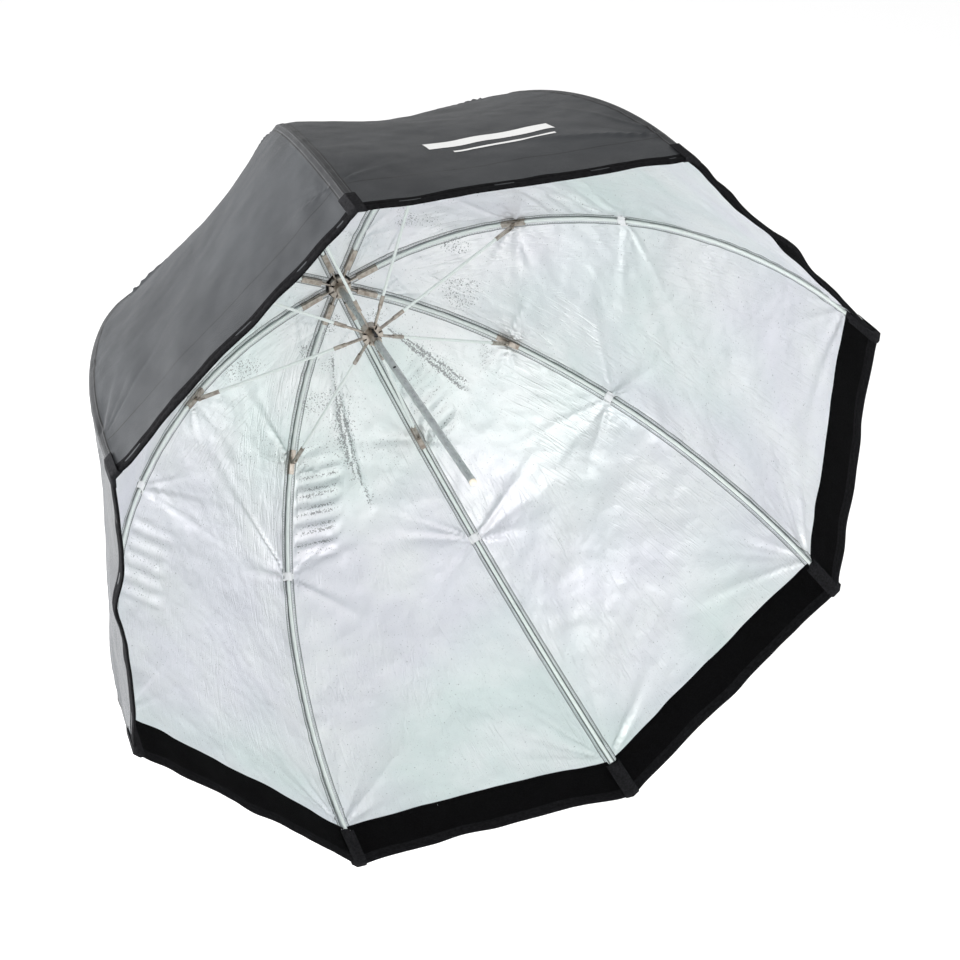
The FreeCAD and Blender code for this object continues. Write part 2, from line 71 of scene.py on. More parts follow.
RIBS = 8
HALF_GORE = math.radians(22.5)
FLAT = math.cos(HALF_GORE)
MOUNT_DEPTH = 0.305
PIVOT_RADIUS = 0.010
START_ANGLE = math.radians(2.0)
STRAIGHT = 0.034
ARCS = ((0.181, math.radians(36.5)), (0.205, math.radians(27.0)), (0.256, math.radians(21.5)))
ROD_START = 0.0155
ROD_END = STRAIGHT + sum(span for span, turn in ARCS)
RIM = ROD_END + 0.041
CLIP = 0.203
FLEX = 0.218
TIE = 0.338
STOP_PIN = 0.189
ROD_RADIUS = 0.002
BEVEL = 0.00015
# distances before and after the flex point at which each rod reads a point; the points are not used
BEND_BEFORE = 0.008
BEND_AFTER = 0.092

# layers of cloth, by offset
SHELL = 0.0043
PRINT = SHELL + 0.00035
TUCK = 0.0038
LINING = 0.0029
TAPE = 0.0024
TAPE_WIDTH = 0.052
SEAM = 0.0068
SEAM_STEP = 0.0006
CROWN_START = 0.006
TAB_HALF = 0.0080
TAB_THICKNESS = 0.0008
TIE_HALF = 0.0066
TIE_LENGTH = 0.010
TIE_THICKNESS = 0.0004

# rows and columns of points in the cloth; the columns go across one gore
COLUMNS = 80
CROWN_ROWS = 60
SIDE_ROWS = 140

# shape of the stretched cloth
SAG = 0.0075
LADDER_PITCH = 0.0225
LADDER_HEIGHT = 0.0021
CREASE_STEP = 0.0012
CREASE_DEPTH = 0.0016
TENSION_HEIGHT = 0.0006
KINK_HEIGHT = 0.0062
SHELL_SLACK = 0.35

# printed bars: name, near and far station, left and right share of the gore's width
BARS = (("wide_bar", 0.586, 0.606, 0.34, 0.74), ("thin_bar", 0.618, 0.622, 0.40, 0.72))

FLOOR_DROP = 0.60
FLOOR_HALF = 30.0
# name, place, watts and side of each square lamp
LAMPS = (("key", (-2.4, -1.7, 0.8), 38.0, 1.8),
         ("fill", (1.9, -1.8, 0.9), 23.0, 1.6),
         ("back", (-2.2, 0.9, -0.2), 165.0, 1.2))

RNG = np.random.RandomState(20)


# ---------------------------------------------------------------- the rib's line

def rib_station(length):
    """Radius, depth and slope from radial of the rib's centre line."""
    radius = PIVOT_RADIUS + min(length, STRAIGHT) * math.cos(START_ANGLE)
    depth = min(length, STRAIGHT) * math.sin(START_ANGLE)
    slope = START_ANGLE
    left = length - STRAIGHT
    for span, turn in ARCS:
        if left <= 0.0:
            return radius, depth, slope
        bend = span / turn
        run = min(left, span)
        turned = slope + run / bend
        radius += bend * (math.sin(turned) - math.sin(slope))
        depth += bend * (math.cos(slope) - math.cos(turned))
        slope = turned
        left -= run
    return radius + max(left, 0.0) * math.cos(slope), depth + max(left, 0.0) * math.sin(slope), slope


def station_table(stations):
    """Radius, depth and slope at each of many stations."""
    places, where = np.unique(stations, return_inverse=True)
    table = np.array([rib_station(place) for place in places])
    return table[where.ravel()]


def rib_angle(index):
    """Clock angle of a rib from straight up, towards +X."""
    return -HALF_GORE + 2.0 * HALF_GORE * index


def spoke(angle):
    """Radial and tangential directions at a clock angle."""
    return (np.array([math.sin(angle), 0.0, math.cos(angle)]),
            np.array([math.cos(angle), 0.0, -math.sin(angle)]))


def rib_frame(index, length):
    """Point, inward normal and tangential axis of a rib at a station."""
    radius, depth, slope = rib_station(length)
    radial, across = spoke(rib_angle(index))
    axial = np.array([0.0, -1.0, 0.0])
    point = radius * radial + np.array([0.0, MOUNT_DEPTH - depth, 0.0])
    inward = -math.sin(slope) * radial + math.cos(slope) * axial
    return point, inward, across


# ---------------------------------------------------------------- smooth random fields

CELLS = 32
LATTICE = RNG.rand(CELLS, CELLS, CELLS)


def field(points, scale, shift=0.0):
    """Smooth noise from -1 to 1 at points (n, 3), with features about 1/scale metres across."""
    place = points * scale + 11.3 + shift
    cell = np.floor(place).astype(int)
    part = place - cell
    part = part * part * (3.0 - 2.0 * part)
    result = np.zeros(len(points))
    for i in (0, 1):
        for j in (0, 1):
            for k in (0, 1):
                weight = (np.abs(1 - i - part[:, 0]) * np.abs(1 - j - part[:, 1])
                          * np.abs(1 - k - part[:, 2]))
                corner = LATTICE[(cell[:, 0] + i) % CELLS, (cell[:, 1] + j) % CELLS,
                                 (cell[:, 2] + k) % CELLS]
                result += weight * corner
    return 2.0 * result - 1.0


def smooth(value, low, high):
    """Eased step from 0 at low to 1 at high."""
    t = np.clip((value - low) / (high - low), 0.0, 1.0)
    return t * t * (3.0 - 2.0 * t)


def bump(value, middle, width):
    """Bell curve with height 1."""
    return np.exp(-((value - middle) / width) ** 2)


# ---------------------------------------------------------------- how the cloth lies

def draw_creases(count, low, high, reach):
    """Random creases that fan from a point: (angle, width, length, height) each."""
    creases = []
    for _ in range(count):
        lean = RNG.uniform(low, high)
        width = RNG.uniform(0.035, 0.085)
        length = reach * RNG.uniform(0.55, 1.25)
        height = RNG.choice([-1.0, -1.0, 1.0]) * RNG.uniform(0.5, 1.0)
        creases.append((lean, width, length, height))
    return creases


def draw_fans():
    """Creases of one side of one rib: at the tie, the clip, the mouth corner and the hub."""
    return ((TIE, 0.0042, draw_creases(5, -0.75, 0.75, 0.080)),
            (CLIP, 0.0028, draw_creases(4, -0.6, 0.9, 0.060)),
            (RIM - 0.055, 0.0028, draw_creases(5, -1.35, -0.15, 0.100)),
            (0.045, 0.0018, draw_creases(4, 0.1, 1.2, 0.070)))


# two for each rib: the side before it and the side after it
FANS = [draw_fans() for _ in range(2 * RIBS)]
# share of the full kink at the middle of each side of the mouth; two sides are bent more than the rest
KINKS = RNG.uniform(0.10, 0.40, RIBS)
KINKS[6] = 1.5
KINKS[1] = 0.9
# per gore: station of the middle, reach each way and height of a ladder of folds beside its second rib
LADDERS = {3: (0.180, 0.050, 0.7), 4: (0.268, 0.056, 1.0), 5: (0.430, 0.060, 0.5), 1: (0.285, 0.040, 0.5)}
# per gore: share across at the hub end and at the outer end, both stations, side of the painted shade
CREASES = {3: ((0.55, 0.48, 0.070, 0.225, -1.0), (0.50, 0.42, 0.085, 0.215, 1.0)),
           4: ((0.64, 0.54, 0.075, 0.262, 1.0), (0.58, 0.49, 0.110, 0.290, -1.0))}


def fan_height(beside, past, side_fans):
    """Height of the creases that fan out from the fixed points of one side of one rib."""
    height = np.zeros_like(beside)
    for centre, tall, creases in side_fans:
        away = np.hypot(beside, past - centre)
        angle = np.arctan2(past - centre, beside)
        for lean, width, reach, size in creases:
            open_width = width * (1.0 + 0.006 / np.maximum(away, 0.004))
            ridge = np.exp(-(np.abs(angle - lean) / open_width) ** 1.35)
            height += tall * size * ridge * smooth(away, 0.002, 0.016) * np.exp(-(away / reach) ** 2)
    return height * smooth(beside, 0.0, 0.004)


def ladder_shape(gore, right, station, points):
    """Rungs of a ladder of parallel folds beside a gore's second rib, and where the ladder is."""
    centre, reach, size = LADDERS.get(gore, (0.0, 0.050, 0.0))
    rungs = np.sin(2.0 * math.pi * (station + 0.0016 * field(points, 26.0, 5.0)) / LADDER_PITCH)
    beside = smooth(right, 0.008, 0.013) * (1.0 - smooth(right, 0.050 + 0.006 * rungs, 0.066))
    past = np.abs(station - centre)
    return rungs, size * beside * (1.0 - smooth(past, 0.85 * reach, 1.1 * reach))


def crease_lines(gore, u, width, station):
    """Long straight creases in the middle of a gore: distance from each, where it is, and the side that gets
    painted shade.
    """
    lines = []
    for start, end, low, high, side in CREASES.get(gore, ()):
        along = (station - low) / (high - low)
        apart = (u - start - (end - start) * along) * width
        lines.append((apart, smooth(along, 0.0, 0.12) * (1.0 - smooth(along, 0.75, 1.0)), side))
    return lines


def crushed(gore, u, station, points):
    """How much painted shade and painted reflection darken the foil, from 0 to 1: on one side of each ladder
    fold and of each long crease, along each crease, and in patches near the hub.
    """
    width = 2.0 * station_table(station)[:, 0] * math.sin(HALF_GORE)
    rungs, ladder = ladder_shape(gore, (1.0 - u) * width, station, points)
    # painted shade on one side of each ladder fold
    amount = ladder * bump(rungs, -0.35, 0.42) * (0.75 + 0.35 * field(points, 60.0, 4.4))
    for apart, part, side in crease_lines(gore, u, width, station):
        # painted shade on one side of each long crease, and a painted shade line along the crease itself
        shaded_side = np.exp(-np.maximum(side * apart, 0.0) / 0.010) * (side * apart > -0.0015)
        patch = smooth(field(points, 22.0, 8.2), -0.5, 0.4)
        amount = np.maximum(amount, part * (0.85 * shaded_side * patch + 0.8 * bump(apart, 0.0, 0.0016)))
    # painted reflection: dark patches near the hub
    near_hub = 1.0 - smooth(station, 0.10, 0.30)
    amount = np.maximum(amount, 0.45 * near_hub * smooth(field(points, 34.0, 2.2), 0.25, 0.55))
    return np.clip(amount, 0.0, 1.0)


def cloth_height(gore, u, station, points, outer):
    """How far the cloth stands outside its flat gore: sag, folds, puckers and ripples.

    The shell is tighter than the lining, so the folds that go inwards are shallower in it.
    """
    radius = station_table(station)[:, 0]
    width = 2.0 * radius * math.sin(HALF_GORE)
    left = u * width
    right = (1.0 - u) * width
    nearest = np.minimum(left, right)
    inside = smooth(nearest, 0.0, 0.02)
    sag = (-SAG * np.sin(math.pi * u) ** 1.2 * smooth(station, 0.05, 0.33)
           * (1.0 - 0.75 * smooth(station, 0.45, RIM)))
    waves = (0.0026 * field(points, 12.0) + 0.0013 * field(points, 29.0, 3.7)
             + 0.0006 * field(points, 61.0, 7.7))
    pucker = 0.0008 * field(points, 95.0, 9.1) * np.exp(-nearest / 0.014)
    folds = (fan_height(left, station, FANS[2 * gore + 1])
             + fan_height(right, station, FANS[2 * ((gore + 1) % RIBS)]))
    rungs, ladder = ladder_shape(gore, right, station, points)
    folds += LADDER_HEIGHT * rungs * ladder
    for apart, part, side in crease_lines(gore, u, width, station):
        step = CREASE_STEP * np.tanh(side * apart / 0.004) * bump(apart, 0.0, 0.020)
        folds += part * (step - CREASE_DEPTH * bump(apart, 0.0, 0.003))
    tension = np.sin(2.0 * math.pi * (u * 4.0 + 0.8 * field(points, 9.0, 2.0)))
    folds += TENSION_HEIGHT * tension * smooth(station, 0.52, RIM) * inside
    kink = bump(u, 0.5 + 0.07 * (KINKS[gore] - 0.7), 0.10)
    rim_kink = KINK_HEIGHT * KINKS[gore] * kink * smooth(station, RIM - 0.10, RIM)
    if outer:
        folds = np.maximum(folds, SHELL_SLACK * folds)
    return sag + inside * waves + pucker * smooth(nearest, 0.0, 0.003) + folds + rim_kink


def rim_drop(gore, u):
    """The rim's edge wanders a little in and out of the mouth's plane."""
    return 0.0030 * KINKS[gore] * bump(u, 0.52, 0.12) - 0.0022 * np.sin(math.pi * u)


def cloth_points(gore, u, station, offset, outer=False):
    """Points of a layer of cloth. The arrays u, from rib to rib, and station go together."""
    middle, across = spoke(rib_angle(gore) + HALF_GORE)
    axial = np.array([0.0, -1.0, 0.0])
    radius, depth, slope = station_table(station).T
    length = np.hypot(np.sin(slope), FLAT * np.cos(slope))
    out_mid = np.sin(slope) / length
    out_axial = -FLAT * np.cos(slope) / length
    flat_mid = radius * FLAT
    sideways = (flat_mid + offset * out_mid) * math.tan(HALF_GORE) * (2.0 * u - 1.0)
    base = (flat_mid[:, None] * middle + sideways[:, None] * across + depth[:, None] * axial
            + np.array([0.0, MOUNT_DEPTH, 0.0]))
    lift = cloth_height(gore, u, station, base, outer) + offset
    drop = rim_drop(gore, u) * smooth(station, RIM - 0.12, RIM)
    return ((flat_mid + lift * out_mid)[:, None] * middle + sideways[:, None] * across
            + (depth + lift * out_axial + drop)[:, None] * axial + np.array([0.0, MOUNT_DEPTH, 0.0]))


# ---------------------------------------------------------------- meshes

def new_piece(name, points, faces, material, smooth_shade=True):
    """A mesh object in the scene with one material."""
    mesh = bpy.data.meshes.new(name)
    mesh.from_pydata([tuple(point) for point in points], [], faces)
    mesh.update()
    mesh.materials.append(material)
    if smooth_shade:
        mesh.polygons.foreach_set("use_smooth", [True] * len(mesh.polygons))
    piece = bpy.data.objects.new(name, mesh)
    bpy.context.scene.collection.objects.link(piece)
    return piece


def add_uv(piece, coordinates, name="cloth"):
    """A UV map from one pair of values per vertex."""
    layer = piece.data.uv_layers.new(name=name)
    corners = np.zeros(len(piece.data.loops), int)
    piece.data.loops.foreach_get("vertex_index", corners)
    layer.data.foreach_set("uv", np.asarray(coordinates)[corners].ravel().astype(np.float32))


def grid_faces(rows, columns, flip=False, closed=False):
    """Four-sided faces over rows of points; closed joins the last column to the first."""
    faces = []
    last = columns if closed else columns - 1
    for row in range(rows - 1):
        for column in range(last):
            a = row * columns + column
            b = row * columns + (column + 1) % columns
            quad = (a, b, b + columns, a + columns)
            faces.append(quad[::-1] if flip else quad)
    return faces


def shares():
    """Places of the columns across a gore, closer together beside the ribs."""
    even = np.arange(COLUMNS) / COLUMNS
    return even - 0.075 * np.sin(2.0 * math.pi * even)


def ring_layer(stations, offsets, seam_step=0.0, outer=False):
    """A layer all round the canopy, rows by columns by 3; each row has a station and an offset.

    Beside the ribs, where the gores' edges are felled, the layer moves out by the seam step, or in
    if the step is below zero.
    """
    rings = []
    share = shares()
    for gore in range(RIBS):
        u = np.tile(share, len(stations))
        station = np.repeat(stations, COLUMNS)
        width = 2.0 * station_table(station)[:, 0] * math.sin(HALF_GORE)
        beside = np.minimum(u, 1.0 - u) * width
        offset = np.repeat(offsets, COLUMNS) + seam_step * (1.0 - smooth(beside, SEAM - 0.0012, SEAM))
        rings.append(cloth_points(gore, u, station, offset, outer).reshape(len(stations), COLUMNS, 3))
    return np.concatenate(rings, axis=1)


def ring_normals(layer):
    """Outward vertex normals of a closed ring layer, so that its pieces shade as one sheet."""
    along = np.gradient(layer, axis=0)
    around = np.roll(layer, -1, axis=1) - np.roll(layer, 1, axis=1)
    normal = np.cross(along, around)
    return normal / np.maximum(np.linalg.norm(normal, axis=2, keepdims=True), 1e-12)


def carry_cloth(piece, body, index):
    """Cloth or webbing over a rib: it moves with that rib and gets a mesh of its own."""
    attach(piece, "%s_%d" % (body, index + 1))
    point, _, tangent = rib_frame(index, FLEX)
    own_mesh(piece)


def painted_fold_shade_over_rib(index, beside, stations, points):
    """How much painted shade and painted reflection darken one rib's lining, on the gore before it and the
    gore after it.
    """
    half = COLUMNS // 2
    rows = len(stations)
    before = crushed((index - 1) % RIBS, 1.0 + np.tile(beside[:half], rows), np.repeat(stations, half),
                     points[:, :half].reshape(-1, 3))
    after = crushed(index, np.tile(beside[half:], rows), np.repeat(stations, half + 1),
                    points[:, half:].reshape(-1, 3))
    return np.concatenate([before.reshape(rows, -1), after.reshape(rows, -1)], axis=1).ravel()


def panel_pieces(prefix, layer, stations, material, body, outward=True):
    """Cuts a ring layer into eight pieces, one over each rib, from mid-gore to mid-gore."""
    normals = ring_normals(layer)
    if not outward:
        normals = -normals
    rows = len(stations)
    half = COLUMNS // 2
    share = shares()
    steps = list(range(-half, half + 1))
    beside = np.array([share[step % COLUMNS] - (1.0 if step < 0 else 0.0) for step in steps])
    radius = station_table(stations)[:, 0]
    made = []
    for index in range(RIBS):
        columns = [(index * COLUMNS + step) % (RIBS * COLUMNS) for step in steps]
        points = layer[:, columns]
        name = "%s_%d" % (prefix, index + 1)
        faces = grid_faces(rows, len(columns), flip=outward)
        piece = new_piece(name, points.reshape(-1, 3), faces, material)
        across = 2.0 * math.sin(HALF_GORE) * radius[:, None] * beside[None, :]
        add_uv(piece, np.stack([across.ravel(), np.repeat(stations, len(columns))], axis=1))
        if prefix.endswith("lining"):
            # painted shade and painted reflection of the folds, passed to the lining material in a second UV
            # map
            painted_shade = painted_fold_shade_over_rib(index, beside, stations, points)
            add_uv(piece, np.stack([painted_shade, painted_shade], axis=1), "crushed")
        piece.data.normals_split_custom_set_from_vertices(normals[:, columns].reshape(-1, 3).tolist())
        carry_cloth(piece, body, index)
        made.append(piece)
    return made


def declare_sheets(stations):
    """Reads the rib's radius at the stations; nothing is done with it."""
    radius = station_table(stations)[:, 0]


def swept(name, sections, material, flip=False):
    """A closed tube or strip through rows of section points, already in place."""
    rows = len(sections)
    columns = len(sections[0])
    points = [point for section in sections for point in section]
    faces = grid_faces(rows, columns, flip=flip, closed=True)
    first = tuple(range(columns))
    last = tuple(range((rows - 1) * columns, rows * columns))
    faces.append(first if flip else first[::-1])
    faces.append(last[::-1] if flip else last)
    return new_piece(name, points, faces, material)


def rib_rod(index, material):
    """One fibreglass rod from the notch fork to the corner pocket, with a rounded tip."""
    stations = list(np.linspace(ROD_START, ROD_END - ROD_RADIUS, 90))
    radii = [ROD_RADIUS] * len(stations)
    for step in (0.35, 0.65, 0.87, 0.97):
        stations.append(ROD_END - ROD_RADIUS + step * ROD_RADIUS)
        radii.append(ROD_RADIUS * math.sqrt(1.0 - step * step))
    sections = []
    turns = np.linspace(0.0, 2.0 * math.pi, 16, endpoint=False)
    for station, radius in zip(stations, radii):
        point, inward, across = rib_frame(index, station)
        sections.append([point + radius * (math.cos(turn) * across + math.sin(turn) * inward)
                         for turn in turns])
    rod = swept("rib_rod_whole_%d" % (index + 1), sections, material)
    start = rib_frame(index, FLEX - BEND_BEFORE)[0]
    end = rib_frame(index, FLEX + BEND_AFTER)[0]
    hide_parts("rib_rod_%d" % (index + 1), "rib_tip_rod_%d" % (index + 1))
    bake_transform(rod)


def corner_section(half_width, lift, offset):
    """Cross-section of webbing laid in the canopy's corner, as (across, inward) pairs.

    With no lift it lies on a layer at that offset; with full lift it arches over the rod.
    """
    across = np.linspace(-half_width, half_width, 25)
    flat = -offset / FLAT + np.abs(across) * math.tan(HALF_GORE)
    arch_radius = ROD_RADIUS + 0.0007
    within = np.clip(1.0 - (across / (arch_radius + 0.0016)) ** 2, 0.0, 1.0)
    arch = arch_radius * np.sqrt(within) * 1.05
    lifted = np.where(within > 0.0, np.maximum(flat, arch), flat)
    return across, flat + lift * (lifted - flat)


def webbing(name, index, rows, half_width, thickness, material):
    """Webbing along a rib. Each row is (station, lift, offset); its faces make a closed strip."""
    sections = []
    for station, lift, offset in rows:
        point, inward, across = rib_frame(index, min(station, RIM + 0.004))
        side, height = corner_section(half_width, lift, offset)
        sign = -1.0 if offset > SHELL - 0.0001 else 1.0
        top = [point + x * across + y * inward for x, y in zip(side, height)]
        under = [point + x * across + (y - sign * thickness) * inward for x, y in zip(side, height)]
        sections.append(top + under[::-1])
    return swept(name, sections, material, flip=True)


# ---------------------------------------------------------------- materials

class Nodes:
    """A material's node tree with short calls for what the materials below share."""

    def __init__(self, name, colour, roughness, metallic=0.0):
        self.material = bpy.data.materials.new(name)
        self.material.use_nodes = True
        self.tree = self.material.node_tree
        self.shader = self.tree.nodes["Principled BSDF"]
        self.shader.inputs["Base Color"].default_value = (*colour, 1.0)
        self.shader.inputs["Roughness"].default_value = roughness
        self.shader.inputs["Metallic"].default_value = metallic
        self.space = self.tree.nodes.new("ShaderNodeTexCoord")
        self.height = None

    def add(self, kind, **settings):
        """A node with settings and input values by name."""
        node = self.tree.nodes.new(kind)
        for key, value in settings.items():
            if hasattr(node, key):
                setattr(node, key, value)
            else:
                node.inputs[key.replace("_", " ")].default_value = value
        return node

    def link(self, start, end):
        self.tree.links.new(start, end)

    def noise(self, scale, detail=3.0, stretch=(1.0, 1.0, 1.0)):
        """Noise in the piece's own space; a small stretch value draws it out along that axis."""
        mapping = self.add("ShaderNodeMapping")
        mapping.inputs["Scale"].default_value = stretch
        self.link(self.space.outputs["Object"], mapping.inputs["Vector"])
        node = self.add("ShaderNodeTexNoise", Scale=scale, Detail=detail)
        self.link(mapping.outputs["Vector"], node.inputs["Vector"])
        return node.outputs["Fac"]

    def maths(self, operation, first, second=None):
        node = self.add("ShaderNodeMath", operation=operation)
        for socket, value in zip(node.inputs, (first, second)):
            if value is None:
                continue
            if isinstance(value, (int, float)):
                socket.default_value = value
            else:
                self.link(value, socket)
        return node.outputs["Value"]

    def blend(self, factor, first, second):
        node = self.add("ShaderNodeMix", data_type="RGBA")
        self.link(factor, node.inputs["Factor"])
        for socket, value in zip((node.inputs[6], node.inputs[7]), (first, second)):
            if isinstance(value, tuple):
                socket.default_value = (*value, 1.0)
            else:
                self.link(value, socket)
        return node.outputs[2]

    def ramp(self, value, low, high):
        """Straight step from 0 at low to 1 at high."""
        node = self.add("ShaderNodeMapRange")
        self.link(value, node.inputs["Value"])
        node.inputs["From Min"].default_value = low
        node.inputs["From Max"].default_value = high
        node.clamp = True
        return node.outputs["Result"]

    def colour(self, output):
        self.link(output, self.shader.inputs["Base Color"])

    def rough(self, value, low, high):
        """Roughness that follows a value from 0 to 1."""
        node = self.add("ShaderNodeMapRange")
        self.link(value, node.inputs["Value"])
        node.inputs["To Min"].default_value = low
        node.inputs["To Max"].default_value = high
        self.link(node.outputs["Result"], self.shader.inputs["Roughness"])

    def relief(self, value, distance, strength=1.0):
        """Bump from a height, on top of the bumps before it."""
        node = self.add("ShaderNodeBump")
        node.inputs["Distance"].default_value = distance
        node.inputs["Strength"].default_value = strength
        self.link(value, node.inputs["Height"])
        if self.height is not None:
            self.link(self.height, node.inputs["Normal"])
        self.height = node.outputs["Normal"]
        self.link(self.height, self.shader.inputs["Normal"])

    def weave(self, pitch, distance, strength=1.0):
        """Plain weave on the cloth's own coordinates."""
        split = self.add("ShaderNodeSeparateXYZ")
        self.link(self.space.outputs["UV"], split.inputs["Vector"])
        waves = []
        for axis in ("X", "Y"):
            angle = self.maths("MULTIPLY", split.outputs[axis], math.pi / pitch)
            waves.append(self.maths("SINE", angle))
        product = self.maths("MULTIPLY", waves[0], waves[1])
        self.relief(product, distance, strength)
        return split

    def crumple(self, scale):
        """Height of creased foil: facets with sharp ridges between them."""
        warp = self.add("ShaderNodeTexNoise", Scale=scale * 0.7, Detail=2.0)
        self.link(self.space.outputs["Object"], warp.inputs["Vector"])
        push = self.add("ShaderNodeVectorMath", operation="MULTIPLY_ADD")
        self.link(warp.outputs["Color"], push.inputs[0])
        push.inputs[1].default_value = (0.6 / scale,) * 3
        self.link(self.space.outputs["Object"], push.inputs[2])
        facets = self.add("ShaderNodeTexVoronoi", feature="F1", Scale=scale)
        self.link(push.outputs["Vector"], facets.inputs["Vector"])
        return facets.outputs["Distance"]

    def wrinkles(self, lean, scale, stretch):
        """Thin straight ridges that lean from the rib's direction, in patches."""
        turned = self.add("ShaderNodeMapping")
        turned.inputs["Rotation"].default_value = (0.0, 0.0, math.radians(lean))
        turned.inputs["Scale"].default_value = (stretch, 1.0, 1.0)
        self.link(self.space.outputs["UV"], turned.inputs["Vector"])
        wave = self.add("ShaderNodeTexNoise", Scale=scale, Detail=2.0)
        self.link(turned.outputs["Vector"], wave.inputs["Vector"])
        ridge = self.maths("ABSOLUTE", self.maths("SUBTRACT", wave.outputs["Fac"], 0.5))
        sharp = self.maths("SUBTRACT", 1.0, self.ramp(ridge, 0.0, 0.035))
        patch = self.ramp(self.noise(9.0 + 0.1 * abs(lean), 2.0), 0.48, 0.60)
        return self.maths("MULTIPLY", sharp, patch)

    def line(self, beside, centre, width):
        """A thin line at a distance beside the rib."""
        near = self.maths("ABSOLUTE", self.maths("SUBTRACT", beside, centre))
        return self.maths("SUBTRACT", 1.0, self.ramp(near, width * 0.3, width * 0.6))

    def stitches(self, split, centres, pitch, thread, distance):
        """Rows of stitches that run along the cloth at set distances beside the rib."""
        beside = self.maths("ABSOLUTE", split.outputs["X"])
        dash = self.ramp(self.maths("SINE", self.maths("MULTIPLY", split.outputs["Y"],
                                                       2.0 * math.pi / pitch)), -0.3, 0.3)
        rows = None
        for centre in centres:
            near = self.maths("ABSOLUTE", self.maths("SUBTRACT", beside, centre))
            row = self.maths("SUBTRACT", 1.0, self.ramp(near, thread * 0.5, thread))
            rows = row if rows is None else self.maths("MAXIMUM", rows, row)
        marks = self.maths("MULTIPLY", rows, dash)
        self.relief(self.maths("SUBTRACT", marks, self.maths("MULTIPLY", rows, 0.6)), distance)
        return marks


def shell_material():
    """Black nylon with a fine weave, soft sheen and felled seams along the ribs."""
    nodes = Nodes("black_nylon", (0.030, 0.032, 0.036), 0.56)
    nodes.shader.inputs["Sheen Weight"].default_value = 0.03
    nodes.shader.inputs["Sheen Roughness"].default_value = 0.4
    nodes.shader.inputs["Specular IOR Level"].default_value = 0.16
    split = nodes.weave(0.00045, 0.00012, 0.55)
    nodes.relief(nodes.noise(70.0, 5.0), 0.0009, 0.30)
    nodes.relief(nodes.noise(24.0, 3.0, stretch=(1.0, 0.35, 1.0)), 0.0022, 0.30)
    beside = nodes.maths("ABSOLUTE", split.outputs["X"])
    seam = nodes.maths("SUBTRACT", 1.0, nodes.ramp(beside, 0.0062, 0.0070))
    marks = nodes.stitches(split, (0.0012, 0.0056), 0.0030, 0.00045, 0.00045)
    band = nodes.line(split.outputs["Y"], RIM - TAPE_WIDTH + 0.002, 0.0010)
    edge = nodes.maths("MAXIMUM", nodes.line(beside, SEAM, 0.0011), band)
    mottled = nodes.blend(nodes.ramp(nodes.noise(9.0, 4.0), 0.3, 0.7), (0.026, 0.028, 0.031),
                          (0.034, 0.037, 0.041))
    seamed = nodes.blend(seam, mottled, (0.022, 0.023, 0.025))
    lined = nodes.blend(edge, seamed, (0.004, 0.004, 0.004))
    nodes.colour(nodes.blend(marks, lined, (0.095, 0.098, 0.104)))
    nodes.rough(nodes.noise(40.0, 3.0), 0.48, 0.64)
    return nodes.material


